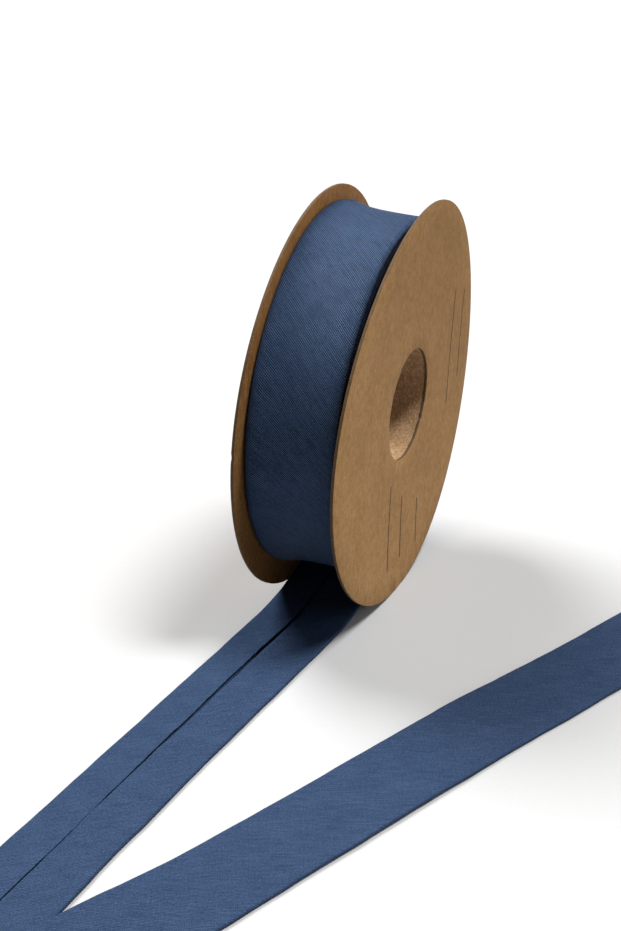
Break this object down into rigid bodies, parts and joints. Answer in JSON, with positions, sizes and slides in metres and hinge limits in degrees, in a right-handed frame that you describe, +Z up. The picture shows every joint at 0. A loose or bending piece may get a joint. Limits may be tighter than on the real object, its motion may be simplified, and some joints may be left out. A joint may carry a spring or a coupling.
{
  "type": "reel of cotton bias binding",
  "caption": "Small card reel wound with navy single-fold cotton bias binding, its loose end paid out on the surface, folded over and brought back beside itself.",
  "frame": {"origin": "centre of the whole part's footprint, on the surface that the reel and its loose end stand on", "axes": "+Z up; +X along the reel's axis, from the far disc to the near disc; +Y from the fold of the loose end back towards the reel"},
  "size_m": [0.1122, 0.2576, 0.095],
  "materials": {
    "kraft_card": "matt brown kraft card, about 0.7 mm",
    "cotton_binding": "matt plain-woven navy cotton, cut on the bias"
  },
  "bodies": {
    "root": {"flange_near": "kraft_card", "flange_far": "kraft_card", "core_tube": "kraft_card", "tape_roll": "cotton_binding", "tape_tail": "cotton_binding"}
  },
  "joints": []
}
